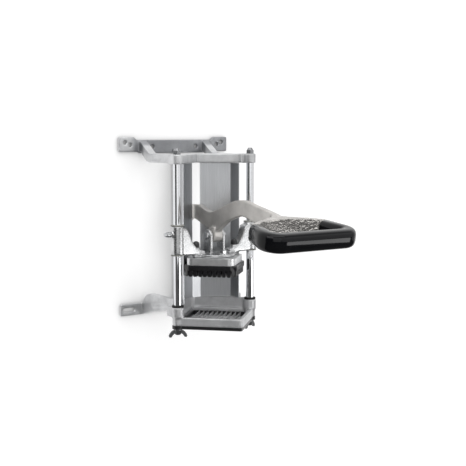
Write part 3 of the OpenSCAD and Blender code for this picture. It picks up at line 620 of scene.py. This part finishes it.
class BuildPusher(bpy.types.Operator):
    """Points the fingers of the pusher block and finishes the carriage's bolts, nuts, pin and bushes"""

    bl_idname = "fry_cutter.pusher"
    bl_label = "Pusher block"

    def execute(self, context):
        bm = merged_copy("pusher_block")
        low = min(v.co.z for v in bm.verts)
        tips = [e for e in bm.edges if all(abs(v.co.z - low) < 1e-5 for v in e.verts)]
        bmesh.ops.bevel(
            bm, geom=tips, offset=sizes().finger_point, offset_type="OFFSET", affect="EDGES", segments=2,
            profile=0.5, material=-1, clamp_overlap=True,
        )
        finished_piece(
            "pusher_fingers", bm, "carriage", "block", "pusher_block", sharp_from=30
        )
        for node, finish in (
            ("plate_bolts", "chrome_bolt"), ("web_nuts", "oxide"), ("clevis_pin", "zinc"),
            ("pin_clip", "zinc"), ("collar_bushes", "nylon"), ("thumb_screw", "zinc"),
        ):
            dress(node, finish)
        return {"FINISHED"}


class BuildStage(bpy.types.Operator):
    """Sets the pale wall and floor, the lamps and the camera"""

    bl_idname = "fry_cutter.stage"
    bl_label = "Stage"

    def execute(self, context):
        build_backdrop()
        build_lamps()
        build_camera()
        return {"FINISHED"}


# ---- stage ----


def stage_material(name, tone, glow, mirrored, painted_shade_reach=0.0):
    """Pale matt surface that keeps its shadow.

    It glows to the camera, so it reads white, and by the share mirrored in reflections. Its white fades
    within painted_shade_reach metres of what covers it, a painted shade that darkens screw holes and
    contacts."""
    material = bpy.data.materials.new(name)
    material.use_nodes = True
    tree = material.node_tree
    tree.nodes.clear()
    out = tree.nodes.new("ShaderNodeOutputMaterial")
    matt = tree.nodes.new("ShaderNodeBsdfDiffuse")
    matt.inputs["Color"].default_value = (tone, tone, tone, 1)
    light = tree.nodes.new("ShaderNodeEmission")
    light.inputs["Color"].default_value = (1, 1, 1, 1)
    path = tree.nodes.new("ShaderNodeLightPath")

    def combined(kind, a, b):
        node = tree.nodes.new("ShaderNodeMath")
        node.operation = kind
        for socket, value in zip(node.inputs, (a, b)):
            if isinstance(value, float):
                socket.default_value = value
            else:
                tree.links.new(value, socket)
        return node.outputs[0]

    seen = path.outputs["Is Camera Ray"]
    reflected = combined("MULTIPLY", path.outputs["Is Glossy Ray"], mirrored)
    # painted shade: ambient occlusion fades the glow near the machine, in holes and at contacts
    if painted_shade_reach:
        sky = tree.nodes.new("ShaderNodeAmbientOcclusion")
        sky.inputs["Distance"].default_value = painted_shade_reach
        seen = combined("MULTIPLY", seen, sky.outputs["AO"])
        uncovered = combined("MULTIPLY", sky.outputs["AO"], 1.0 - COVERED_GLOW)
        reflected = combined("MULTIPLY", reflected, combined("ADD", uncovered, COVERED_GLOW))
    level = combined("MULTIPLY", combined("MAXIMUM", seen, reflected), glow)
    tree.links.new(level, light.inputs["Strength"])
    both = tree.nodes.new("ShaderNodeAddShader")
    tree.links.new(matt.outputs[0], both.inputs[0])
    tree.links.new(light.outputs[0], both.inputs[1])
    clear = tree.nodes.new("ShaderNodeBsdfTransparent")
    side = tree.nodes.new("ShaderNodeNewGeometry")
    pick = tree.nodes.new("ShaderNodeMixShader")
    tree.links.new(side.outputs["Backfacing"], pick.inputs[0])
    tree.links.new(both.outputs[0], pick.inputs[1])
    tree.links.new(clear.outputs[0], pick.inputs[2])
    tree.links.new(pick.outputs[0], out.inputs["Surface"])
    return material


def plane(name, matrix, size, material):
    """A flat square of the stage, of the given half width."""
    bm = bmesh.new()
    bmesh.ops.create_grid(bm, x_segments=1, y_segments=1, size=size)
    bmesh.ops.transform(bm, matrix=matrix, verts=bm.verts)
    mesh = bpy.data.meshes.new(name)
    bm.to_mesh(mesh)
    bm.free()
    sheet = bpy.data.objects.new(name, mesh)
    bpy.context.scene.collection.objects.link(sheet)
    mesh.materials.append(material)


def build_backdrop():
    wall = Matrix.Translation((0, WALL_Y, 0)) @ Matrix.Rotation(math.radians(90), 4, "X")
    plane("backdrop_wall", wall, 4.0, stage_material("pale_wall", 0.3, 0.85, 1.0, 0.06))
    floor = Matrix.Translation((0, 0, FLOOR_Z))
    plane("backdrop_floor", floor, 6.0, stage_material("pale_floor", 0.2, 0.9, 0.0))
    world = bpy.data.worlds.new("studio")
    bpy.context.scene.world = world
    world.use_nodes = True
    tree = world.node_tree
    tree.nodes.clear()
    out = tree.nodes.new("ShaderNodeOutputWorld")
    sky = tree.nodes.new("ShaderNodeBackground")
    white = tree.nodes.new("ShaderNodeBackground")
    white.inputs["Color"].default_value = (1, 1, 1, 1)
    white.inputs["Strength"].default_value = 1.0
    coords = tree.nodes.new("ShaderNodeTexCoord")
    place = tree.nodes.new("ShaderNodeSeparateXYZ")
    shade = tree.nodes.new("ShaderNodeValToRGB")
    elements = shade.color_ramp.elements
    while len(elements) < len(SKY_GREYS):
        elements.new(0.5)
    for element, (spot, value) in zip(elements, SKY_GREYS):
        element.position = spot
        element.color = (value, value, value, 1)
    remap = tree.nodes.new("ShaderNodeMapRange")
    remap.inputs["From Min"].default_value = -1
    remap.inputs["From Max"].default_value = 1
    tree.links.new(coords.outputs["Generated"], place.inputs[0])
    tree.links.new(place.outputs["Z"], remap.inputs["Value"])
    tree.links.new(remap.outputs[0], shade.inputs[0])
    tree.links.new(shade.outputs[0], sky.inputs["Color"])
    sky.inputs["Strength"].default_value = 1.0
    path = tree.nodes.new("ShaderNodeLightPath")
    mix = tree.nodes.new("ShaderNodeMixShader")
    tree.links.new(path.outputs["Is Camera Ray"], mix.inputs[0])
    tree.links.new(sky.outputs[0], mix.inputs[1])
    tree.links.new(white.outputs[0], mix.inputs[2])
    tree.links.new(mix.outputs[0], out.inputs["Surface"])


def lamp(name, place, aim, width, height, power):
    """A rectangular lamp at a place, turned toward an aim, that the camera doesn't see."""
    data = bpy.data.lights.new(name, "AREA")
    data.shape = "RECTANGLE"
    data.size = width
    data.size_y = height
    data.energy = power
    light = bpy.data.objects.new(name, data)
    light.location = place
    light.rotation_mode = "QUATERNION"
    light.rotation_quaternion = (Vector(aim) - Vector(place)).to_track_quat("-Z", "Y")
    light.visible_camera = False
    bpy.context.scene.collection.objects.link(light)


def softbox(name, azimuth, elevation, distance, width, height, radiance):
    """A soft panel that faces the machine; its azimuth counts from the front toward the left, in degrees."""
    a, e = math.radians(azimuth), math.radians(elevation)
    toward = Vector((-math.sin(a) * math.cos(e), -math.cos(a) * math.cos(e), math.sin(e)))
    lamp(name, MACHINE + toward * distance, MACHINE, width, height, radiance * math.pi * width * height)


def build_lamps():
    softbox("right_softbox", -27, 15, 2.2, 2.8, 1.95, 0.85)
    softbox("front_softbox", 27, 15, 2.2, 1.7, 1.95, 1.05)
    softbox("left_softbox", 66, 40, 2.0, 1.1, 1.1, 1.8)
    softbox("side_softbox", -75, 8, 1.5, 0.9, 1.3, 0.55)
    softbox("top_softbox", 0, 70, 1.6, 1.4, 0.9, 1.4)
    lamp("grip_strip", (0.6, -1.055, -0.41), (0.0, -0.385, -0.125), 0.45, 0.18, 1.2)


def build_camera():
    data = bpy.data.cameras.new("camera")
    data.lens = CAMERA_LENS
    data.sensor_width = 36.0
    camera = bpy.data.objects.new("camera", data)
    camera.location = CAMERA_PLACE
    camera.rotation_mode = "QUATERNION"
    camera.rotation_quaternion = (CAMERA_AIM - camera.location).to_track_quat("-Z", "Y")
    bpy.context.scene.collection.objects.link(camera)
    bpy.context.scene.camera = camera
    bpy.context.scene.view_settings.view_transform = "Standard"


# ---- panel and registration ----

STEPS = (BuildCastings, BuildLever, BuildGrip, BuildGuard, BuildRods, BuildBlades, BuildPusher, BuildStage)


class FryCutterPanel(bpy.types.Panel):
    """Lists the pieces of the fry cutter and their sizes"""

    bl_idname = "VIEW3D_PT_fry_cutter"
    bl_label = "French fry cutter"
    bl_space_type = "VIEW_3D"
    bl_region_type = "UI"
    bl_category = "Fry cutter"

    def draw(self, context):
        for group in (context.scene.fry_cutter_sizes, context.scene.fry_cutter_colours):
            for key in group.__annotations__:
                self.layout.prop(group, key)
        for step in STEPS:
            self.layout.operator(step.bl_idname)


CLASSES = (FryCutterSizes, FryCutterColours, *STEPS, FryCutterPanel)


def register():
    for cls in CLASSES:
        bpy.utils.register_class(cls)
    bpy.types.Scene.fry_cutter_sizes = PointerProperty(type=FryCutterSizes)
    bpy.types.Scene.fry_cutter_colours = PointerProperty(type=FryCutterColours)


def unregister():
    del bpy.types.Scene.fry_cutter_colours
    del bpy.types.Scene.fry_cutter_sizes
    for cls in reversed(CLASSES):
        bpy.utils.unregister_class(cls)


def main():
    register()
    make_finishes()
    for step in STEPS:
        area, name = step.bl_idname.split(".")
        getattr(getattr(bpy.ops, area), name)()


if __name__ == "__main__":
    main()
